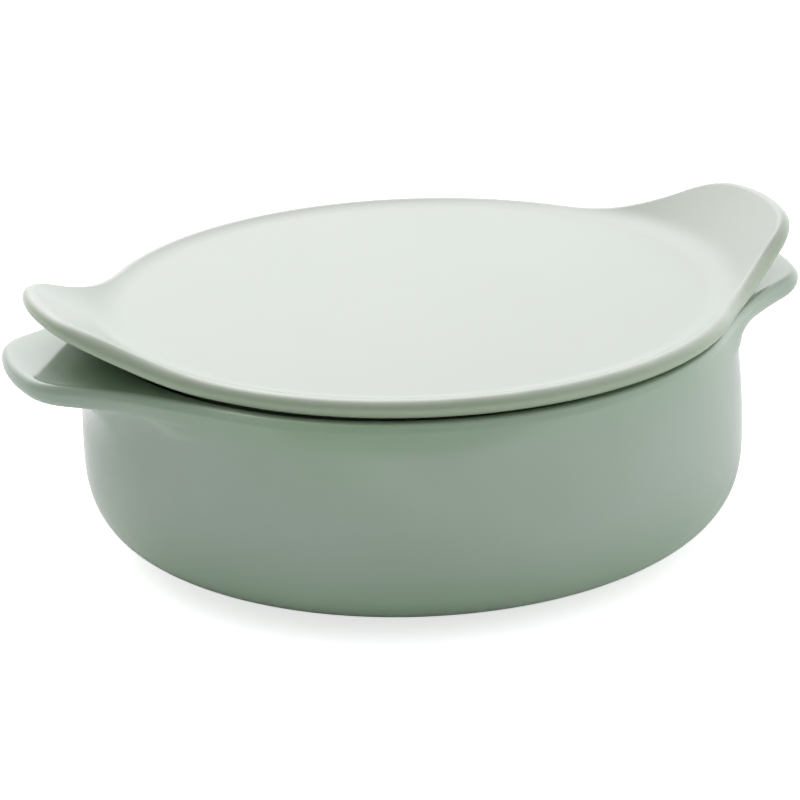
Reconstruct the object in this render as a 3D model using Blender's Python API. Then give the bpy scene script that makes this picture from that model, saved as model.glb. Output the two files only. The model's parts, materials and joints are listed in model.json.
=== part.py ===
"""Round lidded casserole in glazed stoneware, in metres with +Z up.

The dish is one lofted shell with two flat ears and stands on its foot ring at z = 0.
The lid is a plate whose edge flares up all round and runs out into two upturned ears.
The ears of both pieces lie along X.
"""

import math

import bmesh
import bpy

# Dish wall, floor and rim
BODY_RADIUS = 0.1200
RIM_HEIGHT = 0.0800
RIM_DRAW_IN = 0.0032
WALL_THICKNESS = 0.0065
FLOOR_THICKNESS = 0.0075
RIM_OUTER_ROUND = 0.0032
RIM_INNER_ROUND = 0.0022

# Lower corner of the dish, a full curve from the flat base up to the widest radius
CORNER_HEIGHT = 0.0370
CORNER_REACH = 0.0532
CORNER_POWER = 3.15

# Foot ring under the base
FOOT_INSET = 0.0340
FOOT_WIDTH = 0.0070
FOOT_HEIGHT = 0.0010
FOOT_RECESS = 0.0024
FOOT_SLOPE = 0.0012

# Ears of the dish: a gentle end arc, tighter corners and long necks into the rim
EAR_REACH = 0.0319
EAR_THICKNESS = 0.0080
EAR_RISE = 0.0020
EAR_END_RADIUS = 0.0745
EAR_END_HALF_WIDTH = 0.0176
EAR_CORNER_RADIUS = 0.0190
EAR_NECK_RADIUS = 0.1680
EAR_UNDER_ROUND = 0.0040

# Fillet under each ear, which shrinks to a short blend under the plain rim
EAR_FILLET_HEIGHT = 0.0320
RIM_BLEND_HEIGHT = 0.0060
WALL_BELOW_FILLET = 0.0040
FILLET_PULL = 0.6
FILLET_FADE = 0.8
EAR_ONSET = 0.3

# Lid plate, flat in the middle and bent up along an arc into a straight flare
LID_THICKNESS = 0.00635
LID_EDGE_INSET = 0.0017
LID_FLAT_INSET = 0.0130
LID_BEND_RADIUS = 0.0245
LID_FLARE_ANGLE = math.radians(33.7)

# Ears of the lid
LID_EAR_REACH = 0.0257
LID_EAR_END_RADIUS = 0.0805
LID_EAR_END_HALF_WIDTH = 0.0176
LID_EAR_CORNER_RADIUS = 0.0310
LID_EAR_NECK_RADIUS = 0.1860

# Locating ring under the lid, which keeps it from sliding off the rim
LOCATING_DEPTH = 0.0045
LOCATING_WIDTH = 0.0055
LOCATING_PLAY = 0.0042
LOCATING_DRAFT = 0.0010
LOCATING_ROUND = 0.0015

# How the lid lies on the rim: a hair clear of it, off centre and turned within its play
LID_SEAT_GAP = 0.0003
LID_SHIFT_RIGHT = 0.0025
LID_SHIFT_FRONT = 0.0006
LID_TURN = math.radians(1.4)

# Facets: the points of each ring crowd together toward the ears, and the rows of the flare toward its start
RING_POINTS = 88
RING_CROWDING = 0.5
FLARE_CROWDING = 1.4
CORNER_ROWS = 9
WALL_ROWS = 3
FILLET_ROWS = 6
ROUND_ROWS = 3
TOP_ROWS = 3
FLARE_ROWS = 7
EDGE_ROWS = 6
SEAT_SAMPLES = 40

# Glaze colours
DISH_GLAZE = (0.27, 0.33, 0.26, 1.0)
LID_GLAZE = (0.30, 0.36, 0.29, 1.0)
GLAZE_ROUGHNESS = 0.15

# Sizes that follow from the ones above
RIM_RADIUS = BODY_RADIUS - RIM_DRAW_IN
RIM_INNER_RADIUS = RIM_RADIUS - WALL_THICKNESS
CORNER_TOP = FOOT_HEIGHT + CORNER_HEIGHT
FLOOR_LEVEL = FOOT_HEIGHT + FLOOR_THICKNESS
FOOT_RADIUS = BODY_RADIUS - FOOT_INSET
BASE_RADIUS = BODY_RADIUS - CORNER_REACH
FILLET_HEIGHT = min(EAR_FILLET_HEIGHT, RIM_HEIGHT - CORNER_TOP - WALL_BELOW_FILLET)
LID_RADIUS = RIM_RADIUS - LID_EDGE_INSET
LID_FLAT_RADIUS = RIM_RADIUS - LID_FLAT_INSET
LOCATING_RADIUS = RIM_INNER_RADIUS - LOCATING_PLAY
LOCATING_INNER_RADIUS = LOCATING_RADIUS - LOCATING_WIDTH


def ring_angles():
    """Angles of one ring, closer together at the ears than at the front and back."""
    angles = []
    for index in range(RING_POINTS):
        even = 2.0 * math.pi * index / RING_POINTS
        angles.append(even - 0.5 * RING_CROWDING * math.sin(2.0 * even))
    return angles


def ray_to_arc(turn, centre_x, centre_y, radius, side):
    """Distance from the middle to an arc along a ray: its far side for 1, its near side for -1."""
    ahead = centre_x * math.cos(turn) + centre_y * math.sin(turn)
    aside = centre_x ** 2 + centre_y ** 2 - ahead ** 2
    return ahead + side * math.sqrt(max(radius ** 2 - aside, 0.0))


def eared_radius(angle, circle, reach, end_radius, end_half_width, corner_radius, neck_radius):
    """Radius at an angle of a circle with an ear on +X and on -X, every arc tangent to the next."""
    end_angle = math.asin(end_half_width / end_radius)
    end_x = circle + reach - end_radius
    corner_x = end_x + (end_radius - corner_radius) * math.cos(end_angle)
    corner_y = (end_radius - corner_radius) * math.sin(end_angle)
    corner_away = math.hypot(corner_x, corner_y)
    neck_away = circle + neck_radius
    corner_to_neck = corner_radius + neck_radius
    along = (neck_away ** 2 - corner_to_neck ** 2 + corner_away ** 2) / (2.0 * corner_away)
    across = math.sqrt(max(neck_away ** 2 - along ** 2, 0.0))
    neck_x = (along * corner_x - across * corner_y) / corner_away
    neck_y = (along * corner_y + across * corner_x) / corner_away
    share = corner_radius / corner_to_neck
    touch_x = corner_x + share * (neck_x - corner_x)
    touch_y = corner_y + share * (neck_y - corner_y)
    turn = abs((angle + math.pi / 2.0) % math.pi - math.pi / 2.0)
    if turn >= math.atan2(neck_y, neck_x):
        return circle
    if turn <= math.atan2(end_half_width, end_x + end_radius * math.cos(end_angle)):
        return ray_to_arc(turn, end_x, 0.0, end_radius, 1.0)
    if turn <= math.atan2(touch_y, touch_x):
        return ray_to_arc(turn, corner_x, corner_y, corner_radius, 1.0)
    return ray_to_arc(turn, neck_x, neck_y, neck_radius, -1.0)


def smooth_step(value):
    """Ease from 0 to 1."""
    held = min(max(value, 0.0), 1.0)
    return held * held * (3.0 - 2.0 * held)


def wall_radius(height):
    """Outer radius of the wall above the lower corner, drawn in toward the rim."""
    rise = (height - CORNER_TOP) / (RIM_HEIGHT - CORNER_TOP)
    return BODY_RADIUS - RIM_DRAW_IN * rise ** 2


def inner_radius(height):
    """Inner radius of the wall above the lower corner."""
    return wall_radius(height) - WALL_THICKNESS


def corner_profile(base_height, top_radius, first_radius):
    """Rounded corner from the flat base up to a wall, starting at a given radius on the base."""
    spread = top_radius - BASE_RADIUS
    first_share = max(first_radius - BASE_RADIUS, 0.0) / spread
    first = math.asin(first_share ** (CORNER_POWER / 2.0))
    points = []
    for row in range(CORNER_ROWS + 1):
        sweep = first + (math.pi / 2.0 - first) * row / CORNER_ROWS
        radius = BASE_RADIUS + spread * math.sin(sweep) ** (2.0 / CORNER_POWER)
        drop = max(math.cos(sweep), 0.0) ** (2.0 / CORNER_POWER)
        points.append((radius, base_height + (CORNER_TOP - base_height) * (1.0 - drop)))
    return points


def fillet_profile(start_height, end, onset):
    """Curve that leaves the wall upward and, on an ear, arrives under it outward."""
    lift = FILLET_PULL * (end[1] - start_height)
    swell = end[0] - wall_radius(end[1])
    swells = (0.0, 0.0, swell * (1.0 - FILLET_PULL * onset), swell)
    heights = (start_height, start_height + lift, end[1] - lift * (1.0 - onset), end[1])
    points = []
    for row in range(1, FILLET_ROWS + 1):
        share = row / FILLET_ROWS
        rest = 1.0 - share
        weights = (rest ** 3, 3.0 * share * rest ** 2, 3.0 * share ** 2 * rest, share ** 3)
        height = sum(weight * value for weight, value in zip(weights, heights))
        outward = sum(weight * value for weight, value in zip(weights, swells))
        points.append((wall_radius(height) + outward, height))
    return points


def rim_top_profile(tip, ear_share):
    """Top of the rim and ear, from its rounded outer edge to its rounded inner edge."""
    tip_height = RIM_HEIGHT + EAR_RISE * ear_share
    points = []
    for row in range(1, ROUND_ROWS + 1):
        sweep = math.pi / 2.0 * row / ROUND_ROWS
        radius = tip - RIM_OUTER_ROUND * (1.0 - math.cos(sweep))
        points.append((radius, tip_height - RIM_OUTER_ROUND * (1.0 - math.sin(sweep))))
    bore = inner_radius(RIM_HEIGHT - RIM_INNER_ROUND)
    outer = tip - RIM_OUTER_ROUND
    inner = bore + RIM_INNER_ROUND
    for row in range(1, TOP_ROWS + 1):
        share = 1.0 - row / TOP_ROWS
        points.append((inner + (outer - inner) * share, RIM_HEIGHT + EAR_RISE * ear_share * share ** 2))
    for row in range(1, ROUND_ROWS + 1):
        sweep = math.pi / 2.0 * row / ROUND_ROWS
        radius = bore + RIM_INNER_ROUND * (1.0 - math.sin(sweep))
        points.append((radius, RIM_HEIGHT - RIM_INNER_ROUND * (1.0 - math.cos(sweep))))
    return points


def dish_profile(angle):
    """One section of the dish: foot, outer wall, fillet, ear, rim, inner wall, inside corner."""
    tip = eared_radius(angle, RIM_RADIUS, EAR_REACH, EAR_END_RADIUS, EAR_END_HALF_WIDTH,
                       EAR_CORNER_RADIUS, EAR_NECK_RADIUS)
    ear_share = (tip - RIM_RADIUS) / EAR_REACH
    onset = smooth_step(ear_share / EAR_ONSET)
    points = [
        (FOOT_RADIUS - FOOT_WIDTH - FOOT_SLOPE, FOOT_RECESS),
        (FOOT_RADIUS - FOOT_WIDTH, 0.0),
        (FOOT_RADIUS, 0.0),
    ]
    points += corner_profile(FOOT_HEIGHT, BODY_RADIUS, FOOT_RADIUS + FOOT_SLOPE)

    # Plain wall up to the fillet
    plain = EAR_THICKNESS + RIM_BLEND_HEIGHT
    fillet = plain + (FILLET_HEIGHT - plain) * ear_share ** FILLET_FADE
    fillet_start = RIM_HEIGHT - fillet
    for row in range(1, WALL_ROWS + 1):
        height = CORNER_TOP + (fillet_start - CORNER_TOP) * row / WALL_ROWS
        points.append((wall_radius(height), height))

    # Fillet, then the rounded lower edge of the ear
    low = RIM_HEIGHT + EAR_RISE * ear_share - EAR_THICKNESS
    under_round = EAR_UNDER_ROUND * onset
    low_radius = tip + (wall_radius(low) - RIM_RADIUS) * (1.0 - onset)
    points += fillet_profile(fillet_start, (low_radius - under_round, low), onset)
    edge_height = EAR_THICKNESS - RIM_OUTER_ROUND
    for row in range(1, ROUND_ROWS + 1):
        sweep = math.pi / 2.0 * row / ROUND_ROWS
        height = low + edge_height * (1.0 - math.cos(sweep))
        edge = tip + (wall_radius(height) - RIM_RADIUS) * (1.0 - onset)
        points.append((edge - under_round * (1.0 - math.sin(sweep)), height))

    # Over the rim, down the inner wall and round the inside corner to the floor
    points += rim_top_profile(tip, ear_share)
    inside_top = RIM_HEIGHT - RIM_INNER_ROUND
    for row in range(1, WALL_ROWS + 1):
        height = inside_top + (CORNER_TOP - inside_top) * row / WALL_ROWS
        points.append((inner_radius(height), height))
    inside = corner_profile(FLOOR_LEVEL, BODY_RADIUS - WALL_THICKNESS, BASE_RADIUS)
    points += inside[-2::-1]
    return points


def bent_height(radius, bend_radius):
    """Height of a bent surface over its flat middle: arc, then straight flare."""
    arc_end = LID_FLAT_RADIUS + bend_radius * math.sin(LID_FLARE_ANGLE)
    if radius <= LID_FLAT_RADIUS:
        return 0.0
    if radius < arc_end:
        return bend_radius - math.sqrt(bend_radius ** 2 - (radius - LID_FLAT_RADIUS) ** 2)
    arc_rise = bend_radius * (1.0 - math.cos(LID_FLARE_ANGLE))
    return arc_rise + (radius - arc_end) * math.tan(LID_FLARE_ANGLE)


def flare_slope(radius):
    """Slope angle of the lid's top surface at a radius."""
    bend = max(radius - LID_FLAT_RADIUS, 0.0) / LID_BEND_RADIUS
    return min(math.asin(min(bend, 1.0)), LID_FLARE_ANGLE)


def lid_profile(angle):
    """One section of the lid: flat top, flare, round edge, underside, locating ring."""
    outline = eared_radius(angle, LID_RADIUS, LID_EAR_REACH, LID_EAR_END_RADIUS, LID_EAR_END_HALF_WIDTH,
                           LID_EAR_CORNER_RADIUS, LID_EAR_NECK_RADIUS)
    half = LID_THICKNESS / 2.0
    last = outline - half
    points = []
    for row in range(FLARE_ROWS + 1):
        share = row / FLARE_ROWS
        radius = LID_FLAT_RADIUS + (last - LID_FLAT_RADIUS) * share ** FLARE_CROWDING
        points.append((radius, LID_THICKNESS + bent_height(radius, LID_BEND_RADIUS)))

    # Half-round edge, square to the flare
    slope = flare_slope(last)
    centre_radius = last + half * math.sin(slope)
    centre_height = points[-1][1] - half * math.cos(slope)
    for row in range(1, EDGE_ROWS + 1):
        sweep = slope + math.pi / 2.0 - math.pi * row / EDGE_ROWS
        points.append((centre_radius + half * math.cos(sweep), centre_height + half * math.sin(sweep)))

    # Underside of the flare, one plate thickness below the top, in to the locating ring
    foot = LOCATING_RADIUS + LOCATING_DRAFT
    under_bend = LID_BEND_RADIUS + LID_THICKNESS
    under_last = points[-1][0]
    for row in range(1, FLARE_ROWS):
        radius = under_last + (foot - under_last) * row / (FLARE_ROWS - 1)
        points.append((radius, bent_height(radius, under_bend)))

    # Locating ring with rounded lower edges
    for row in range(ROUND_ROWS + 1):
        sweep = math.pi / 2.0 * row / ROUND_ROWS
        radius = LOCATING_RADIUS - LOCATING_ROUND * (1.0 - math.cos(sweep))
        points.append((radius, LOCATING_ROUND * (1.0 - math.sin(sweep)) - LOCATING_DEPTH))
    for row in range(ROUND_ROWS + 1):
        sweep = math.pi / 2.0 * row / ROUND_ROWS
        radius = LOCATING_INNER_RADIUS + LOCATING_ROUND * (1.0 - math.sin(sweep))
        points.append((radius, LOCATING_ROUND * (1.0 - math.cos(sweep)) - LOCATING_DEPTH))
    points.append((LOCATING_INNER_RADIUS - LOCATING_DRAFT, 0.0))
    return points


def lid_seat_height():
    """Height of the lid's flat underside when its flare just clears the rim and ear on its low side."""
    under_bend = LID_BEND_RADIUS + LID_THICKNESS
    shift = math.hypot(LID_SHIFT_RIGHT, LID_SHIFT_FRONT)
    top = rim_top_profile(RIM_RADIUS + EAR_REACH, 1.0)
    height = 0.0
    for start, end in zip(top, top[1:]):
        for sample in range(SEAT_SAMPLES + 1):
            share = sample / SEAT_SAMPLES
            radius = start[0] + (end[0] - start[0]) * share
            level = start[1] + (end[1] - start[1]) * share
            height = max(height, level - bent_height(radius - shift, under_bend))
    return height + LID_SEAT_GAP


def loft(name, profile, colour):
    """Closed solid through one section per ring angle, capped flat at both ends."""
    angles = ring_angles()
    sections = [profile(angle) for angle in angles]
    shell = bmesh.new()
    rings = []
    for row in range(len(sections[0])):
        ring = []
        for angle, section in zip(angles, sections):
            radius, height = section[row]
            ring.append(shell.verts.new((radius * math.cos(angle), radius * math.sin(angle), height)))
        rings.append(ring)
    for lower, upper in zip(rings, rings[1:]):
        for index in range(RING_POINTS):
            following = (index + 1) % RING_POINTS
            shell.faces.new((lower[index], lower[following], upper[following], upper[index]))
    shell.faces.new(rings[0])
    shell.faces.new(rings[-1])
    bmesh.ops.recalc_face_normals(shell, faces=shell.faces)
    for face in shell.faces:
        face.smooth = True
    mesh = bpy.data.meshes.new(name)
    shell.to_mesh(mesh)
    shell.free()
    piece = bpy.data.objects.new(name, mesh)
    bpy.context.scene.collection.objects.link(piece)
    glaze = bpy.data.materials.new(name + "_glaze")
    glaze.use_nodes = True
    shader = glaze.node_tree.nodes["Principled BSDF"]
    shader.inputs["Base Color"].default_value = colour
    shader.inputs["Roughness"].default_value = GLAZE_ROUGHNESS
    mesh.materials.append(glaze)
    return piece


for old in list(bpy.data.objects):
    bpy.data.objects.remove(old, do_unlink=True)

dish = loft("dish", dish_profile, DISH_GLAZE)

# The lid's origin lies on the line it lifts along
lid = loft("lid", lid_profile, LID_GLAZE)
lid.location = (LID_SHIFT_RIGHT, -LID_SHIFT_FRONT, lid_seat_height())
lid.rotation_euler = (0.0, 0.0, LID_TURN)
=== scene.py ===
import json
import math

import bpy
from mathutils import Matrix, Vector

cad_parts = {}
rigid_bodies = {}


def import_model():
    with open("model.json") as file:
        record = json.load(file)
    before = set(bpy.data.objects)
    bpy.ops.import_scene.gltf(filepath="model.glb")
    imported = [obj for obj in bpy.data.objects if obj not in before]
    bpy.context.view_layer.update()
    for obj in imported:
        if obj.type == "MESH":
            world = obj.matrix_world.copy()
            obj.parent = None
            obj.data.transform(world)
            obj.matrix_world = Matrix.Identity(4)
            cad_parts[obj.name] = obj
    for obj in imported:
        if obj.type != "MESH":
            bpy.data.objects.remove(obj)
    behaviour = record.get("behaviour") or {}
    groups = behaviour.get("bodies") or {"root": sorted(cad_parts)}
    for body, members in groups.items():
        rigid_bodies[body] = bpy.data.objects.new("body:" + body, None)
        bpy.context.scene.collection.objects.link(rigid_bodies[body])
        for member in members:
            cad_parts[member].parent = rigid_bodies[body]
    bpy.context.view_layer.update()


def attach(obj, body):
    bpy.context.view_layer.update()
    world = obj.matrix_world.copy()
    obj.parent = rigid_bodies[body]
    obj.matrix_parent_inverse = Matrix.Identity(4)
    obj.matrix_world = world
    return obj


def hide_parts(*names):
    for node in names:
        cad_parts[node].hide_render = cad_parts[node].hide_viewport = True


for old in list(bpy.data.objects):
    bpy.data.objects.remove(old, do_unlink=True)

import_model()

# Camera
# A long lens 1.3 metres away, 19 degrees round to the left of the front and 20 degrees up, rolled slightly
# so that the left side of the dish stands a little low, as in the photograph.
CAMERA_PLACE = (-0.38986, -1.09629, 0.47810)
CAMERA_AZIMUTH = math.radians(-19.365)
CAMERA_ELEVATION = math.radians(20.391)
CAMERA_ROLL = math.radians(-1.912)
CAMERA_LENS = 153.2
CAMERA_SENSOR = 36.0

camera_data = bpy.data.cameras.new("camera")
camera_data.lens = CAMERA_LENS
camera_data.sensor_width = CAMERA_SENSOR
camera = bpy.data.objects.new("camera", camera_data)
bpy.context.scene.collection.objects.link(camera)
camera.location = CAMERA_PLACE
camera_swing = Matrix.Rotation(CAMERA_AZIMUTH, 3, "Z")
camera_tilt = Matrix.Rotation(math.pi / 2.0 - CAMERA_ELEVATION, 3, "X")
camera_roll = Matrix.Rotation(CAMERA_ROLL, 3, "Z")
camera.rotation_euler = (camera_swing @ camera_tilt @ camera_roll).to_euler()
bpy.context.scene.camera = camera

# Dish
# A round stoneware bowl with two flat ears, cast in one piece and dipped in a glossy sage glaze. The glaze
# lies thin on the edges of the ears, gathers greener in broad runs below the rim, and ends above the foot
# ring, which is wiped down to the bare clay. Shade is painted in as greener glaze at the rim, on the ears'
# edges and tops under the lid, and low on the wall; faces that look up are painted greyer as a highlight.
BODY_RADIUS = 0.1200
RIM_HEIGHT = 0.0800
RIM_DRAW_IN = 0.0032
WALL_THICKNESS = 0.0065
FLOOR_THICKNESS = 0.0075
RIM_ROUND = 0.00208
RIM_INNER_ROUND = 0.0022
RIM_BLEND_HEIGHT = 0.0060
CORNER_HEIGHT = 0.0370
CORNER_REACH = 0.0532
CORNER_POWER = 3.15
FOOT_INSET = 0.0340
FOOT_WIDTH = 0.0070
FOOT_HEIGHT = 0.0010
FOOT_RECESS = 0.0024
FOOT_SLOPE = 0.0012
FOOT_ROUND = 0.0006
FOOT_CLEARANCE = 2.0 * FOOT_SLOPE
EAR_REACH = 0.0319
EAR_THICKNESS = 0.0080
EAR_RISE = 0.0020
EAR_ROUND = 0.0032
EAR_UNDER_ROUND = 0.0040
EAR_ONSET = 0.3
EAR_FILLET_HEIGHT = 0.0320
FILLET_PULL = 0.6
FILLET_FADE = 0.8
# Arcs of an ear's outline: radius and half-width of its end, radius of its corners and of its necks
EAR_ARCS = (0.0745, 0.0176, 0.0190, 0.1680)
RIM_RADIUS = BODY_RADIUS - RIM_DRAW_IN
CORNER_TOP = FOOT_HEIGHT + CORNER_HEIGHT
FLOOR_LEVEL = FOOT_HEIGHT + FLOOR_THICKNESS
FOOT_RADIUS = BODY_RADIUS - FOOT_INSET
FOOT_INNER_RADIUS = FOOT_RADIUS - FOOT_WIDTH
BASE_RADIUS = BODY_RADIUS - CORNER_REACH

# Points round the ring, crowded toward the ears, and steps along the stretches of the section
RING_POINTS = 264
RING_CROWDING = 0.5
CORNER_STEPS = 26
WALL_STEPS = 8
FILLET_STEPS = 18
EDGE_STEPS = 8
TOP_STEPS = 12
BORE_EDGE_STEPS = 6
INSIDE_CORNER_STEPS = 20
FLAT_STEPS = 4
MIDDLE_SHARE = 0.03
CRISP_SHARE = 0.97
FLAT_SHARES = tuple(max(step / FLAT_STEPS, MIDDLE_SHARE) for step in range(FLAT_STEPS))

# Thinness of the glaze: 0 where it lies evenly, up to 1 where it is thin, below 0 where it has gathered in
# the runs, and also below 0 where shade is painted as greener glaze: at the rim and on the ears' edges under
# the lid, on top up to a share of an ear's reach, and in the low band. The runs and the low band go by
# height.
RIM_PAINTED_SHADE = -0.26
EAR_PAINTED_SHADE = -0.12
TOP_PAINTED_SHADE = -0.6
TOP_REACH = 0.86
TOP_FADE = 2.6
RUN_THINNESS = -0.36
RUN_ANGLES = tuple(math.radians(degrees) for degrees in (24.0, 78.0, 121.0, 238.0))
RUN_HALF_WIDTH = math.radians(7.0)
RUN_FROM = 0.042
RUN_TO = 0.066
LOW_PAINTED_SHADE = -0.45
LOW_FROM = 0.036
LOW_TO = 0.012

# Thin crests on the roundings: thinness, then place and spread along the rounding in radians
EAR_SIDE_CREST = (0.3, 0.7, 0.5)
EAR_EDGE_CREST = (0.15, 0.9, 0.6)
BORE_EDGE_CREST = (0.4, 0.8, 0.7)

# Border of the glaze at the foot ring: thinness and bare clay, from the inside outward, then where the
# rows of the border lie and over how many steps of the lower corner it ends
INNER_BORDER = (0.6, 0.3)
INNER_WIPED = (0.6, 1.0)
WIPED = (0.0, 1.0)
OUTER_BORDERS = ((0.6, 0.9), (0.8, 0.1))
INNER_WIPED_SLOPE = 0.1 * FOOT_SLOPE
OUTER_BORDER_OUT = 0.4 * FOOT_SLOPE
OUTER_BORDER_UP = 0.9 * FOOT_ROUND
CORNER_BORDER_STEPS = 1.5

# Colours of the glaze and of the clay, of the painted shade and highlights, and how far up a face has to
# look to take the painted glare colour, a greyer glaze that stands in for the highlight of the light above
DISH_DARK_GLAZE = (0.282, 0.367, 0.284)
DISH_LIGHT_GLAZE = (0.308, 0.389, 0.314)
DISH_PAINTED_GLARE = (0.291, 0.355, 0.284)
THIN_GLAZE_AND_HIGHLIGHT = (0.47, 0.49, 0.41)
RUN_AND_SHADE_GREEN = (0.258, 0.400, 0.235)
BARE_CLAY = (0.56, 0.49, 0.40)
GLARE_FROM = 0.55
GLARE_TO = 0.85
GLARE_SHARE = 0.9

# Gloss and unevenness: each pattern has its repeats in a metre and its detail
GLAZE_IOR = 1.5
PATTERN_LOW = 0.3
PATTERN_HIGH = 0.7
POOLS = (16.0, 2.0)
MOTTLE = (320.0, 3.0)
MOTTLE_SHARE = 0.10
THIN_PATCHES = (55.0, 2.0)
THIN_PATCH_SHARES = (0.3, 0.8)
SHEEN = (40.0, 2.0)
SHEEN_SPREAD = 0.04
WAVES = (28.0, 1.0)
CLAY_ROUGHNESS = 0.7
DISH_ROUGHNESS = 0.07
DISH_WAVE_HEIGHT = 0.0002


def ray_to_arc(turn, centre_x, centre_y, radius, side):
    """Distance from the middle to an arc along a ray: its far side for 1, its near side for -1."""
    ahead = centre_x * math.cos(turn) + centre_y * math.sin(turn)
    aside = centre_x ** 2 + centre_y ** 2 - ahead ** 2
    return ahead + side * math.sqrt(max(radius ** 2 - aside, 0.0))


def eared_radius(angle, circle, reach, arcs):
    """Radius at an angle of a circle with an ear on +X and on -X, every arc tangent to the next."""
    end_radius, end_half_width, corner_radius, neck_radius = arcs
    end_angle = math.asin(end_half_width / end_radius)
    end_x = circle + reach - end_radius
    corner_x = end_x + (end_radius - corner_radius) * math.cos(end_angle)
    corner_y = (end_radius - corner_radius) * math.sin(end_angle)
    corner_away = math.hypot(corner_x, corner_y)
    neck_away = circle + neck_radius
    corner_to_neck = corner_radius + neck_radius
    along = (neck_away ** 2 - corner_to_neck ** 2 + corner_away ** 2) / (2.0 * corner_away)
    across = math.sqrt(neck_away ** 2 - along ** 2)
    neck_x = (along * corner_x - across * corner_y) / corner_away
    neck_y = (along * corner_y + across * corner_x) / corner_away
    share = corner_radius / corner_to_neck
    touch_x = corner_x + share * (neck_x - corner_x)
    touch_y = corner_y + share * (neck_y - corner_y)
    turn = abs((angle + math.pi / 2.0) % math.pi - math.pi / 2.0)
    if turn >= math.atan2(neck_y, neck_x):
        return circle
    if turn <= math.atan2(end_half_width, end_x + end_radius * math.cos(end_angle)):
        return ray_to_arc(turn, end_x, 0.0, end_radius, 1.0)
    if turn <= math.atan2(touch_y, touch_x):
        return ray_to_arc(turn, corner_x, corner_y, corner_radius, 1.0)
    return ray_to_arc(turn, neck_x, neck_y, neck_radius, -1.0)


def smooth_step(value):
    """Ease from 0 to 1."""
    held = min(max(value, 0.0), 1.0)
    return held * held * (3.0 - 2.0 * held)


def hump(value, width):
    """Bell curve that is 1 at 0."""
    return math.exp(-(value / width) ** 2)


def crest(sweep, glaze_and_shading, place, spread):
    """Thinness of the glaze at a place along a rounding that has a thin crest; on the lid's top crest this
    is partly a painted highlight.
    """
    return glaze_and_shading * hump(sweep - place, spread)


def quarter_turn(steps, first):
    """Angles in even steps up to a quarter turn, from the step with a given number."""
    return [math.pi / 2.0 * step / steps for step in range(first, steps + 1)]


def wall_radius(height):
    """Outer radius of the wall above the lower corner, drawn in toward the rim."""
    rise = (height - CORNER_TOP) / (RIM_HEIGHT - CORNER_TOP)
    return BODY_RADIUS - RIM_DRAW_IN * rise ** 2


def wall_runs_and_shade(angle, height):
    """Thinness of the glaze on the wall, which runs below the rim, with shade painted as greener glaze low
    down.
    """
    full = smooth_step((height - RUN_FROM) / (RUN_TO - RUN_FROM))
    runs = 0.0
    for run_angle in RUN_ANGLES:
        aside = math.remainder(angle - run_angle, 2.0 * math.pi)
        runs += hump(aside, RUN_HALF_WIDTH * (1.0 + full))
    # Painted shade: greener glaze low on the wall, for the shadowed floor that it faces.
    low = smooth_step((height - LOW_FROM) / (LOW_TO - LOW_FROM))
    return RUN_THINNESS * runs * full + LOW_PAINTED_SHADE * low


def rim_rounding(ear):
    """Radius of the outer top edge: tight on the plain rim, wider on an ear."""
    return RIM_ROUND + (EAR_ROUND - RIM_ROUND) * smooth_step(ear / EAR_ONSET)


def corner_points(base_height, top_radius, first_radius, steps):
    """Radius and height along the rounded lower corner, from a radius on the flat base up to the wall."""
    spread = top_radius - BASE_RADIUS
    first = math.asin(((first_radius - BASE_RADIUS) / spread) ** (CORNER_POWER / 2.0))
    points = []
    for step in range(steps + 1):
        sweep = first + (math.pi / 2.0 - first) * step / steps
        radius = BASE_RADIUS + spread * math.sin(sweep) ** (2.0 / CORNER_POWER)
        drop = max(math.cos(sweep), 0.0) ** (2.0 / CORNER_POWER)
        points.append((radius, base_height + (CORNER_TOP - base_height) * (1.0 - drop)))
    return points


def foot_rows():
    """Rows of the recess under the dish and of the foot ring, from the middle outward."""
    rows = []
    for share in (*FLAT_SHARES, CRISP_SHARE, 1.0):
        rows.append(((FOOT_INNER_RADIUS - FOOT_SLOPE) * share, FOOT_RECESS, 0.0, 0.0))
    rows.append((FOOT_INNER_RADIUS - FOOT_SLOPE / 2.0, FOOT_RECESS / 2.0, *INNER_BORDER))
    rows.append((FOOT_INNER_RADIUS - INNER_WIPED_SLOPE, FOOT_ROUND, *INNER_WIPED))
    rows.append((FOOT_INNER_RADIUS + FOOT_ROUND, 0.0, *WIPED))
    rows.append((FOOT_RADIUS - FOOT_ROUND, 0.0, *WIPED))
    rows.append((FOOT_RADIUS, FOOT_ROUND / 2.0, *WIPED))
    for step, border in enumerate(OUTER_BORDERS, 1):
        rows.append((FOOT_RADIUS + step * OUTER_BORDER_OUT, step * OUTER_BORDER_UP, *border))
    return rows


def wall_rows(angle, top):
    """Rows of the lower corner and of the wall, from the foot ring up to a height."""
    rows = []
    corner = corner_points(FOOT_HEIGHT, BODY_RADIUS, FOOT_RADIUS + FOOT_CLEARANCE, CORNER_STEPS)
    for step, (radius, height) in enumerate(corner):
        border = hump(step, CORNER_BORDER_STEPS)
        rows.append((radius, height, border + wall_runs_and_shade(angle, height), 0.0))
    for step in range(1, WALL_STEPS + 1):
        height = CORNER_TOP + (top - CORNER_TOP) * step / WALL_STEPS
        rows.append((wall_radius(height), height, wall_runs_and_shade(angle, height), 0.0))
    return rows


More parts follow.
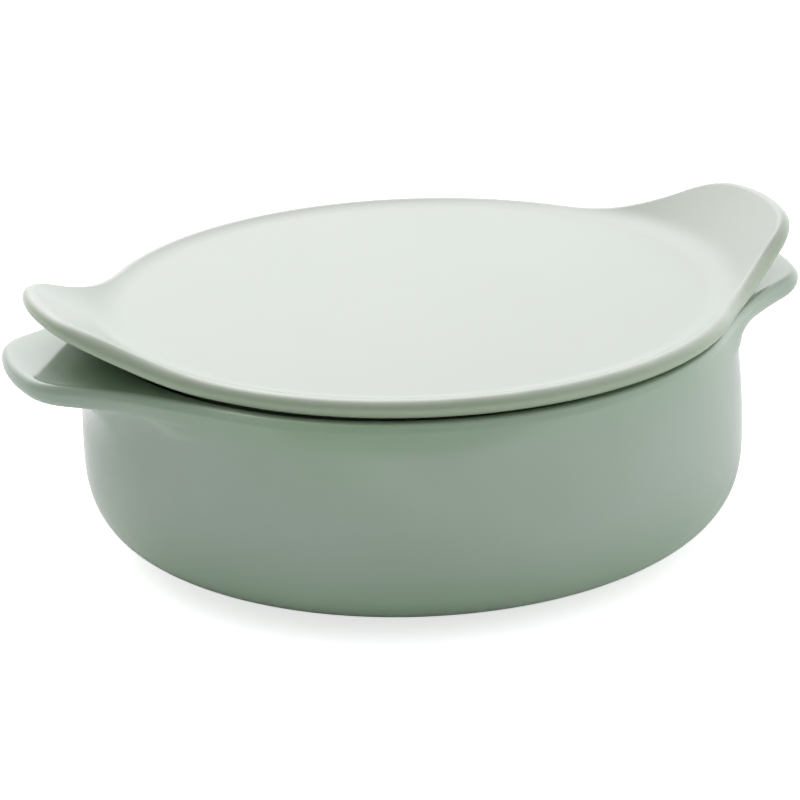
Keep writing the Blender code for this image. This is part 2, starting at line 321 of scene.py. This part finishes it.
def ear_rows(angle, tip, ear, fillet_start):
    """Rows of the fillet under the rim or the ear, then round its edge."""
    onset = smooth_step(ear / EAR_ONSET)
    # Painted shade: greener glaze at the rim and on the ear's edges, under the lid's edge.
    greening = RIM_PAINTED_SHADE + (EAR_PAINTED_SHADE - RIM_PAINTED_SHADE) * ear
    rim_round = rim_rounding(ear)
    under_round = EAR_UNDER_ROUND * onset
    top = RIM_HEIGHT + EAR_RISE * ear
    low = top - EAR_THICKNESS
    low_radius = tip + (wall_radius(low) - RIM_RADIUS) * (1.0 - onset) - under_round
    lift = FILLET_PULL * (low - fillet_start)
    swell = low_radius - wall_radius(low)
    swells = (0.0, 0.0, swell * (1.0 - FILLET_PULL * onset), swell)
    heights = (fillet_start, fillet_start + lift, low - lift * (1.0 - onset), low)
    rows = []
    for step in range(1, FILLET_STEPS + 1):
        share = step / FILLET_STEPS
        rest = 1.0 - share
        weights = (rest ** 3, 3.0 * share * rest ** 2, 3.0 * share ** 2 * rest, share ** 3)
        height = sum(weight * value for weight, value in zip(weights, heights))
        outward = sum(weight * value for weight, value in zip(weights, swells))
        glaze_and_shading = wall_runs_and_shade(angle, height) + greening * share ** 2
        rows.append((wall_radius(height) + outward, height, glaze_and_shading, 0.0))
    side = EAR_THICKNESS - rim_round
    for sweep in quarter_turn(EDGE_STEPS, 1):
        height = low + side * (1.0 - math.cos(sweep))
        edge = tip + (wall_radius(height) - RIM_RADIUS) * (1.0 - onset)
        radius = edge - under_round * (1.0 - math.sin(sweep))
        glaze_and_shading = crest(sweep, *EAR_SIDE_CREST) * ear + greening + wall_runs_and_shade(angle, height)
        rows.append((radius, height, glaze_and_shading, 0.0))
    for sweep in quarter_turn(EDGE_STEPS, 1):
        radius = tip - rim_round * (1.0 - math.cos(sweep))
        height = top - rim_round * (1.0 - math.sin(sweep))
        glaze_and_shading = crest(sweep, *EAR_EDGE_CREST) * ear + greening + wall_runs_and_shade(angle, height)
        rows.append((radius, height, glaze_and_shading, 0.0))
    return rows


def top_rows(tip, ear):
    """Rows across the top of the ear and the rim, then over the inner edge into the bore."""
    bore = wall_radius(RIM_HEIGHT - RIM_INNER_ROUND) - WALL_THICKNESS
    outer = tip - rim_rounding(ear)
    inner = bore + RIM_INNER_ROUND
    rows = []
    for step in range(1, TOP_STEPS + 1):
        share = 1.0 - step / TOP_STEPS
        height = RIM_HEIGHT + EAR_RISE * ear * share ** 2
        # Painted shade: greener glaze on top within a share of the ear's reach, where the lid shades it.
        glaze_and_shading = TOP_PAINTED_SHADE * smooth_step(TOP_FADE * (TOP_REACH - share * ear))
        rows.append((inner + (outer - inner) * share, height, glaze_and_shading, 0.0))
    for sweep in quarter_turn(BORE_EDGE_STEPS, 1):
        radius = bore + RIM_INNER_ROUND * (1.0 - math.sin(sweep))
        height = RIM_HEIGHT - RIM_INNER_ROUND * (1.0 - math.cos(sweep))
        rows.append((radius, height, crest(sweep, *BORE_EDGE_CREST), 0.0))
    return rows


def inside_rows():
    """Rows down the inside of the wall and across the floor of the dish to its middle."""
    top = RIM_HEIGHT - RIM_INNER_ROUND
    rows = []
    for step in range(1, WALL_STEPS + 1):
        height = top + (CORNER_TOP - top) * step / WALL_STEPS
        rows.append((wall_radius(height) - WALL_THICKNESS, height, 0.0, 0.0))
    corner = corner_points(FLOOR_LEVEL, BODY_RADIUS - WALL_THICKNESS, BASE_RADIUS, INSIDE_CORNER_STEPS)
    for radius, height in reversed(corner[:-1]):
        rows.append((radius, height, 0.0, 0.0))
    for share in reversed(FLAT_SHARES):
        rows.append((BASE_RADIUS * share, FLOOR_LEVEL, 0.0, 0.0))
    return rows


def dish_section(angle):
    """Section of the dish at an angle, as rows of radius, height, thinness of the glaze with painted shade,
    and bare clay.
    """
    tip = eared_radius(angle, RIM_RADIUS, EAR_REACH, EAR_ARCS)
    ear = (tip - RIM_RADIUS) / EAR_REACH
    plain = EAR_THICKNESS + RIM_BLEND_HEIGHT
    fillet_start = RIM_HEIGHT - plain - (EAR_FILLET_HEIGHT - plain) * ear ** FILLET_FADE
    outside = [*foot_rows(), *wall_rows(angle, fillet_start), *ear_rows(angle, tip, ear, fillet_start)]
    return [*outside, *top_rows(tip, ear), *inside_rows()]


def loft(name, section):
    """Closed smooth mesh through one section per ring angle, with thinness of the glaze, painted shade and
    highlight included, and bare clay as attributes.
    """
    angles = []
    for index in range(RING_POINTS):
        even = 2.0 * math.pi * index / RING_POINTS
        angles.append(even - RING_CROWDING / 2.0 * math.sin(2.0 * even))
    rings = list(zip(*(section(angle) for angle in angles)))
    points = []
    glaze_and_shading = []
    bareness = []
    for ring in rings:
        for angle, (radius, height, row_shading, bare) in zip(angles, ring):
            points.append((radius * math.cos(angle), radius * math.sin(angle), height))
            glaze_and_shading.append(row_shading)
            bareness.append(bare)
    faces = []
    for ring in range(len(rings) - 1):
        near = ring * RING_POINTS
        far = near + RING_POINTS
        for index in range(RING_POINTS):
            following = (index + 1) % RING_POINTS
            faces.append((near + index, far + index, far + following, near + following))
    faces.append(tuple(range(RING_POINTS)))
    faces.append(tuple(range(len(points) - 1, len(points) - 1 - RING_POINTS, -1)))
    mesh = bpy.data.meshes.new(name)
    mesh.from_pydata(points, [], faces)
    mesh.attributes.new("glaze_and_painted_light", "FLOAT", "POINT").data.foreach_set("value", glaze_and_shading)
    mesh.attributes.new("bare_clay", "FLOAT", "POINT").data.foreach_set("value", bareness)
    mesh.shade_smooth()
    piece = bpy.data.objects.new(name, mesh)
    bpy.context.scene.collection.objects.link(piece)
    return piece


def glaze(name, dark_colour, light_colour, glare_colour, roughness, wave_height):
    """Sage glaze: painted greyer on faces that look up as a highlight, greener where gathered and where
    shade is painted, paler where thin and where a highlight is painted, and dull bare clay.
    """
    material = bpy.data.materials.new(name)
    material.use_nodes = True
    nodes = material.node_tree.nodes
    links = material.node_tree.links
    shader = nodes["Principled BSDF"]
    shader.inputs["IOR"].default_value = GLAZE_IOR
    place = nodes.new("ShaderNodeTexCoord")

    def pattern(scale, detail):
        cloud = nodes.new("ShaderNodeTexNoise")
        cloud.inputs["Scale"].default_value = scale
        cloud.inputs["Detail"].default_value = detail
        links.new(place.outputs["Object"], cloud.inputs["Vector"])
        return cloud.outputs["Fac"]

    def ranged(value, low, high):
        spread = nodes.new("ShaderNodeMapRange")
        spread.inputs["From Min"].default_value = PATTERN_LOW
        spread.inputs["From Max"].default_value = PATTERN_HIGH
        spread.inputs["To Min"].default_value = low
        spread.inputs["To Max"].default_value = high
        links.new(value, spread.inputs["Value"])
        return spread.outputs["Result"]

    def blended(share, first, second):
        mixer = nodes.new("ShaderNodeMix")
        mixer.data_type = "RGBA"
        links.new(share, mixer.inputs["Factor"])
        for socket, value in ((mixer.inputs["A"], first), (mixer.inputs["B"], second)):
            if isinstance(value, tuple):
                socket.default_value = (*value, 1.0)
            else:
                links.new(value, socket)
        return mixer.outputs["Result"]

    def mask(attribute):
        reader = nodes.new("ShaderNodeAttribute")
        reader.attribute_name = attribute
        return reader.outputs["Fac"]

    glaze_and_shading = mask("glaze_and_painted_light")
    bareness = mask("bare_clay")
    facing = nodes.new("ShaderNodeSeparateXYZ")
    links.new(place.outputs["Normal"], facing.inputs["Vector"])
    # Painted highlight: faces that look up take a greyer colour that stands in for the glare of the light
    # above.
    glare_amount = nodes.new("ShaderNodeMapRange")
    glare_amount.inputs["From Min"].default_value = GLARE_FROM
    glare_amount.inputs["From Max"].default_value = GLARE_TO
    glare_amount.inputs["To Max"].default_value = GLARE_SHARE
    links.new(facing.outputs["Z"], glare_amount.inputs["Value"])
    # Greener glaze where it gathers in runs and where shade is painted.
    greening = nodes.new("ShaderNodeMath")
    greening.operation = "MULTIPLY"
    greening.use_clamp = True
    greening.inputs[1].default_value = -1.0
    links.new(glaze_and_shading, greening.inputs[0])
    # Paler glaze where it is thin and where a highlight is painted.
    thin_and_highlight = nodes.new("ShaderNodeMath")
    thin_and_highlight.operation = "MULTIPLY"
    links.new(glaze_and_shading, thin_and_highlight.inputs[0])
    links.new(ranged(pattern(*THIN_PATCHES), *THIN_PATCH_SHARES), thin_and_highlight.inputs[1])
    pooled = blended(ranged(pattern(*POOLS), 0.0, 1.0), dark_colour, light_colour)
    glared = blended(glare_amount.outputs["Result"], pooled, glare_colour)
    mottled = blended(ranged(pattern(*MOTTLE), 0.0, MOTTLE_SHARE), glared, light_colour)
    greened = blended(greening.outputs["Value"], mottled, RUN_AND_SHADE_GREEN)
    paled = blended(thin_and_highlight.outputs["Value"], greened, THIN_GLAZE_AND_HIGHLIGHT)
    links.new(blended(bareness, paled, BARE_CLAY), shader.inputs["Base Color"])

    dull = nodes.new("ShaderNodeMath")
    dull.operation = "MULTIPLY_ADD"
    dull.inputs[1].default_value = CLAY_ROUGHNESS
    links.new(bareness, dull.inputs[0])
    links.new(ranged(pattern(*SHEEN), roughness, roughness + SHEEN_SPREAD), dull.inputs[2])
    links.new(dull.outputs["Value"], shader.inputs["Roughness"])

    swell = nodes.new("ShaderNodeBump")
    swell.inputs["Distance"].default_value = wave_height
    links.new(pattern(*WAVES), swell.inputs["Height"])
    links.new(swell.outputs["Normal"], shader.inputs["Normal"])
    return material


dish = loft("dish_body", dish_section)
dish_colours = (DISH_DARK_GLAZE, DISH_LIGHT_GLAZE, DISH_PAINTED_GLARE)
dish_paint = glaze("sage_dish_glaze", *dish_colours, DISH_ROUGHNESS, DISH_WAVE_HEIGHT)
dish.data.materials.append(dish_paint)
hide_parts("dish")
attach(dish, "dish")

# Lid
# A loose stoneware plate that lies on the rim, flat in the middle, with its edge bent up all round and
# drawn out into two ears to lift it by. A ring under it keeps it on the dish. It has the same sage glaze,
# with less gloss, which lies thin along the crest of the edge, where a highlight is also painted in as paler
# glaze; faces that look up are painted greyer as a highlight.
LID_PLACE = (0.0025, -0.0006, 0.079617)
LID_TURN = math.radians(1.4)
LID_THICKNESS = 0.00635
LID_EDGE_INSET = 0.0017
LID_FLAT_INSET = 0.0130
LID_BEND_RADIUS = 0.0245
LID_FLARE_ANGLE = math.radians(33.7)
LID_EAR_REACH = 0.0257
LID_EAR_ARCS = (0.0805, 0.0176, 0.0310, 0.1860)
LOCATING_PLAY = 0.0042
LOCATING_WIDTH = 0.0055
LOCATING_DEPTH = 0.0045
LOCATING_DRAFT = 0.0010
LOCATING_ROUND = 0.0015
RIPPLE_RADIUS = 0.0430
RIPPLE_WIDTH = 0.0070
RIPPLE_HEIGHT = 0.00003
LID_RADIUS = RIM_RADIUS - LID_EDGE_INSET
LID_FLAT_RADIUS = RIM_RADIUS - LID_FLAT_INSET
LOCATING_RADIUS = RIM_RADIUS - WALL_THICKNESS - LOCATING_PLAY
LOCATING_INNER_RADIUS = LOCATING_RADIUS - LOCATING_WIDTH

# Radii of the rings across the flat top, close together at the ripple, and steps along the other stretches
LID_MIDDLE_RADII = (0.002, 0.020)
LID_RIPPLE_FROM = 0.028
LID_RIPPLE_STEP = 0.002
LID_RIPPLE_STEPS = 15
LID_OUTER_RADII = (0.065, 0.080, 0.095)
LID_BEND_STEPS = 30
LID_EDGE_STEPS = 36
LID_UNDER_STEPS = 20
LID_CRISP_SHARE = 0.98
LOCATING_STEPS = 8

# Glaze of the lid, with its thin crests given like those of the dish; the top crest is partly a painted
# highlight, and the glare colour is a painted highlight on faces that look up
LID_TOP_HIGHLIGHT_CREST = (0.7, 0.5, 0.45)
LID_UNDER_CREST = (0.2, 2.8, 0.35)
LOCATING_THINNESS = 0.5
LID_DARK_GLAZE = (0.276, 0.354, 0.242)
LID_LIGHT_GLAZE = (0.300, 0.376, 0.268)
LID_PAINTED_GLARE = (0.279, 0.325, 0.270)
LID_ROUGHNESS = 0.20
LID_WAVE_HEIGHT = 0.0001


def bent_height(radius, bend_radius):
    """Height of a bent surface over its flat middle: arc, then straight flare."""
    arc_end = LID_FLAT_RADIUS + bend_radius * math.sin(LID_FLARE_ANGLE)
    if radius <= LID_FLAT_RADIUS:
        return 0.0
    if radius < arc_end:
        return bend_radius - math.sqrt(bend_radius ** 2 - (radius - LID_FLAT_RADIUS) ** 2)
    arc_rise = bend_radius * (1.0 - math.cos(LID_FLARE_ANGLE))
    return arc_rise + (radius - arc_end) * math.tan(LID_FLARE_ANGLE)


def lid_top_rows(last):
    """Rows across the top of the lid, from the middle to the last radius before the rounded edge."""
    ripple_radii = [LID_RIPPLE_FROM + LID_RIPPLE_STEP * step for step in range(LID_RIPPLE_STEPS)]
    rows = []
    for radius in (*LID_MIDDLE_RADII, *ripple_radii, *LID_OUTER_RADII, LID_FLAT_RADIUS):
        ripple = RIPPLE_HEIGHT * hump(radius - RIPPLE_RADIUS, RIPPLE_WIDTH)
        rows.append((radius, LID_THICKNESS + ripple, 0.0, 0.0))
    for sweep in quarter_turn(LID_BEND_STEPS, 1):
        radius = LID_FLAT_RADIUS + (last - LID_FLAT_RADIUS) * math.sin(sweep)
        rows.append((radius, LID_THICKNESS + bent_height(radius, LID_BEND_RADIUS), 0.0, 0.0))
    return rows


def lid_edge_rows(last, top_height):
    """Rows half-way round the edge of the lid, which is rounded to its full thickness."""
    half = LID_THICKNESS / 2.0
    slope = min(math.asin(min((last - LID_FLAT_RADIUS) / LID_BEND_RADIUS, 1.0)), LID_FLARE_ANGLE)
    centre_radius = last + half * math.sin(slope)
    centre_height = top_height - half * math.cos(slope)
    rows = []
    for step in range(1, LID_EDGE_STEPS + 1):
        turn = math.pi * step / LID_EDGE_STEPS
        sweep = slope + math.pi / 2.0 - turn
        radius = centre_radius + half * math.cos(sweep)
        height = centre_height + half * math.sin(sweep)
        # The top crest is partly thin glaze and partly a painted highlight of the light from above.
        glaze_and_shading = crest(turn - slope, *LID_TOP_HIGHLIGHT_CREST) + crest(turn, *LID_UNDER_CREST)
        rows.append((radius, height, glaze_and_shading, 0.0))
    return rows


def lid_under_rows(first):
    """Rows under the lid, from a radius at its edge over the locating ring to the middle."""
    locating_foot = LOCATING_RADIUS + LOCATING_DRAFT
    rows = []
    for step in range(1, LID_UNDER_STEPS + 1):
        radius = first + (locating_foot - first) * step / LID_UNDER_STEPS
        rows.append((radius, bent_height(radius, LID_BEND_RADIUS + LID_THICKNESS), 0.0, 0.0))
    for sweep in quarter_turn(LOCATING_STEPS, 0):
        radius = LOCATING_RADIUS - LOCATING_ROUND * (1.0 - math.cos(sweep))
        height = LOCATING_ROUND * (1.0 - math.sin(sweep)) - LOCATING_DEPTH
        rows.append((radius, height, LOCATING_THINNESS, 0.0))
    for sweep in quarter_turn(LOCATING_STEPS, 0):
        radius = LOCATING_INNER_RADIUS + LOCATING_ROUND * (1.0 - math.sin(sweep))
        height = LOCATING_ROUND * (1.0 - math.cos(sweep)) - LOCATING_DEPTH
        rows.append((radius, height, LOCATING_THINNESS, 0.0))
    for share in (1.0, LID_CRISP_SHARE, *reversed(FLAT_SHARES)):
        rows.append(((LOCATING_INNER_RADIUS - LOCATING_DRAFT) * share, 0.0, 0.0, 0.0))
    return rows


def lid_section(angle):
    """Section of the lid at an angle, as rows of radius, height, thinness of the glaze with a painted
    highlight on the top crest, and bare clay.
    """
    last = eared_radius(angle, LID_RADIUS, LID_EAR_REACH, LID_EAR_ARCS) - LID_THICKNESS / 2.0
    top = lid_top_rows(last)
    last_height = top[-1][1]
    edge = lid_edge_rows(last, last_height)
    under_radius = edge[-1][0]
    return [*top, *edge, *lid_under_rows(under_radius)]


lid = loft("lid_plate", lid_section)
lid_colours = (LID_DARK_GLAZE, LID_LIGHT_GLAZE, LID_PAINTED_GLARE)
lid_paint = glaze("sage_lid_glaze", *lid_colours, LID_ROUGHNESS, LID_WAVE_HEIGHT)
lid.data.materials.append(lid_paint)
lid.location = LID_PLACE
lid.rotation_euler = (0.0, 0.0, LID_TURN)
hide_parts("lid")
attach(lid, "lid")

# Floor
# A sheet of white studio paper, which the camera sees as white and which keeps the shadow under the dish.
# To mirrored rays only, the paper is painted brighter at the front right, dimmer beside the dish, and dark
# toward the camera: a painted reflection of the studio in the glaze.
FLOOR_HALF = 8.0
FLOOR_COLOUR = (0.90, 0.90, 0.90)
FLOOR_CAMERA_LIFT = 0.70
FLOOR_GLOSS_LIFT = 0.45
FLOOR_BRIGHT_SIDE = (0.530, -0.848, 0.0)
FLOOR_BRIGHT_FROM = 0.06
FLOOR_BRIGHT_TO = 0.23
FLOOR_VIEW_LINE = (0.3316, 0.9434, 0.0)
FLOOR_VIEW_HALF = 1.0
# Metres past the middle of the dish along the viewing line, and the grey that is mirrored there
FLOOR_MIRRORED = ((-0.75, 0.12), (-0.50, 0.90), (-0.08, 0.90), (0.04, 0.72), (0.16, 0.72), (0.30, 1.0))

floor_mesh = bpy.data.meshes.new("floor")
floor_corners = [(x, y, 0.0) for x, y in ((-1, -1), (1, -1), (1, 1), (-1, 1))]
floor_mesh.from_pydata([Vector(corner) * FLOOR_HALF for corner in floor_corners], [], [(0, 1, 2, 3)])
floor = bpy.data.objects.new("floor", floor_mesh)
bpy.context.scene.collection.objects.link(floor)
paper = bpy.data.materials.new("floor_paper")
paper.use_nodes = True
paper_nodes = paper.node_tree.nodes
paper_links = paper.node_tree.links
paper_shader = paper_nodes["Principled BSDF"]
paper_shader.inputs["Roughness"].default_value = 1.0
paper_shader.inputs["Specular IOR Level"].default_value = 0.0
paper_shader.inputs["Emission Color"].default_value = (1.0, 1.0, 1.0, 1.0)
paper_place = paper_nodes.new("ShaderNodeTexCoord")
paper_path = paper_nodes.new("ShaderNodeLightPath")


def floor_along(direction):
    """How far a point of the floor lies along a direction."""
    measure = paper_nodes.new("ShaderNodeVectorMath")
    measure.operation = "DOT_PRODUCT"
    measure.inputs[1].default_value = direction
    paper_links.new(paper_place.outputs["Object"], measure.inputs[0])
    return measure.outputs["Value"]


view_line = paper_nodes.new("ShaderNodeMapRange")
view_line.inputs["From Min"].default_value = -FLOOR_VIEW_HALF
view_line.inputs["From Max"].default_value = FLOOR_VIEW_HALF
paper_links.new(floor_along(FLOOR_VIEW_LINE), view_line.inputs["Value"])
strip = paper_nodes.new("ShaderNodeValToRGB")
strip.color_ramp.interpolation = "EASE"
while len(strip.color_ramp.elements) < len(FLOOR_MIRRORED):
    strip.color_ramp.elements.new(1.0)
for stop, (along, grey) in zip(strip.color_ramp.elements, FLOOR_MIRRORED):
    stop.position = (along + FLOOR_VIEW_HALF) / (2.0 * FLOOR_VIEW_HALF)
    stop.color = (grey, grey, grey, 1.0)
paper_links.new(view_line.outputs["Result"], strip.inputs["Fac"])
shown = paper_nodes.new("ShaderNodeMix")
shown.data_type = "RGBA"
shown.inputs["A"].default_value = (*FLOOR_COLOUR, 1.0)
paper_links.new(paper_path.outputs["Is Glossy Ray"], shown.inputs["Factor"])
paper_links.new(strip.outputs["Color"], shown.inputs["B"])
paper_links.new(shown.outputs["Result"], paper_shader.inputs["Base Color"])

bright_side = paper_nodes.new("ShaderNodeMapRange")
bright_side.interpolation_type = "SMOOTHSTEP"
bright_side.inputs["From Min"].default_value = FLOOR_BRIGHT_FROM
bright_side.inputs["From Max"].default_value = FLOOR_BRIGHT_TO
bright_side.inputs["To Max"].default_value = FLOOR_GLOSS_LIFT
paper_links.new(floor_along(FLOOR_BRIGHT_SIDE), bright_side.inputs["Value"])
mirrored = paper_nodes.new("ShaderNodeMath")
mirrored.operation = "MULTIPLY"
paper_links.new(paper_path.outputs["Is Glossy Ray"], mirrored.inputs[0])
paper_links.new(bright_side.outputs["Result"], mirrored.inputs[1])
lifted = paper_nodes.new("ShaderNodeMath")
lifted.operation = "MULTIPLY_ADD"
lifted.inputs[1].default_value = FLOOR_CAMERA_LIFT
paper_links.new(paper_path.outputs["Is Camera Ray"], lifted.inputs[0])
paper_links.new(mirrored.outputs["Value"], lifted.inputs[2])
paper_links.new(lifted.outputs["Value"], paper_shader.inputs["Emission Strength"])
floor_mesh.materials.append(paper)

# Light
# A white studio with two very soft glows: a strong one high up behind the dish, which the lid mirrors, and
# a wide one low on the right. Both are shaded on the side where the camera stands, and at the rear except
# where they are mirrored. The mirrored horizon is a little dimmer.
HORIZON_TOP = 0.28
HORIZON_SHADE = 0.05
# Direction, tightness and strength of each glow and of each shaded side, and the colour of each glow
BACK_GLOW = ((-0.024, 0.652, 0.758), 8.85, 4.86, (1.0, 0.955, 0.985))
SIDE_GLOW = ((0.923, 0.374, -0.087), 0.81, 2.12, (0.995, 1.0, 1.03))
CAMERA_SIDE = ((-0.311, -0.884, 0.349), 2.5, 0.55)
REAR_SIDE = ((0.55, 0.834, -0.05), 3.0, 0.8)

studio = bpy.data.worlds.new("studio")
bpy.context.scene.world = studio
studio.use_nodes = True
studio_nodes = studio.node_tree.nodes
studio_links = studio.node_tree.links
studio_path = studio_nodes.new("ShaderNodeLightPath")
outward = studio_nodes.new("ShaderNodeTexCoord")


def lobe(direction, tightness, strength):
    """Value that is strongest in a direction and falls off smoothly all round it."""
    towards = studio_nodes.new("ShaderNodeVectorMath")
    towards.operation = "DOT_PRODUCT"
    towards.inputs[1].default_value = direction
    studio_links.new(outward.outputs["Generated"], towards.inputs[0])
    fall = studio_nodes.new("ShaderNodeMath")
    fall.operation = "MULTIPLY_ADD"
    fall.inputs[1].default_value = tightness
    fall.inputs[2].default_value = math.log(strength) - tightness
    studio_links.new(towards.outputs["Value"], fall.inputs[0])
    bright = studio_nodes.new("ShaderNodeMath")
    bright.operation = "EXPONENT"
    studio_links.new(fall.outputs["Value"], bright.inputs[0])
    return bright.outputs["Value"]


rise = studio_nodes.new("ShaderNodeSeparateXYZ")
studio_links.new(outward.outputs["Generated"], rise.inputs["Vector"])
low_down = studio_nodes.new("ShaderNodeMapRange")
low_down.interpolation_type = "SMOOTHSTEP"
low_down.inputs["From Max"].default_value = HORIZON_TOP
low_down.inputs["To Min"].default_value = HORIZON_SHADE
low_down.inputs["To Max"].default_value = 0.0
studio_links.new(rise.outputs["Z"], low_down.inputs["Value"])
one_shade = studio_nodes.new("ShaderNodeMix")
studio_links.new(studio_path.outputs["Is Glossy Ray"], one_shade.inputs["Factor"])
studio_links.new(lobe(*REAR_SIDE), one_shade.inputs["A"])
studio_links.new(low_down.outputs["Result"], one_shade.inputs["B"])
all_shade = studio_nodes.new("ShaderNodeMath")
all_shade.operation = "ADD"
studio_links.new(one_shade.outputs["Result"], all_shade.inputs[0])
studio_links.new(lobe(*CAMERA_SIDE), all_shade.inputs[1])
open_share = studio_nodes.new("ShaderNodeMath")
open_share.operation = "SUBTRACT"
open_share.inputs[0].default_value = 1.0
studio_links.new(all_shade.outputs["Value"], open_share.inputs[1])


def glow(direction, tightness, strength, colour):
    """Coloured light of one lobe, dimmed by the shades."""
    dimmed = studio_nodes.new("ShaderNodeMath")
    dimmed.operation = "MULTIPLY"
    studio_links.new(lobe(direction, tightness, strength), dimmed.inputs[0])
    studio_links.new(open_share.outputs["Value"], dimmed.inputs[1])
    light = studio_nodes.new("ShaderNodeBackground")
    light.inputs["Color"].default_value = (*colour, 1.0)
    studio_links.new(dimmed.outputs["Value"], light.inputs["Strength"])
    return light.outputs["Background"]


both = studio_nodes.new("ShaderNodeAddShader")
studio_links.new(glow(*BACK_GLOW), both.inputs[0])
studio_links.new(glow(*SIDE_GLOW), both.inputs[1])
backdrop = studio_nodes["Background"]
backdrop.inputs["Color"].default_value = (1.0, 1.0, 1.0, 1.0)
seen = studio_nodes.new("ShaderNodeMixShader")
studio_links.new(studio_path.outputs["Is Camera Ray"], seen.inputs["Fac"])
studio_links.new(both.outputs["Shader"], seen.inputs[1])
studio_links.new(backdrop.outputs["Background"], seen.inputs[2])
studio_links.new(seen.outputs["Shader"], studio_nodes["World Output"].inputs["Surface"])

bpy.context.scene.view_settings.view_transform = "Standard"
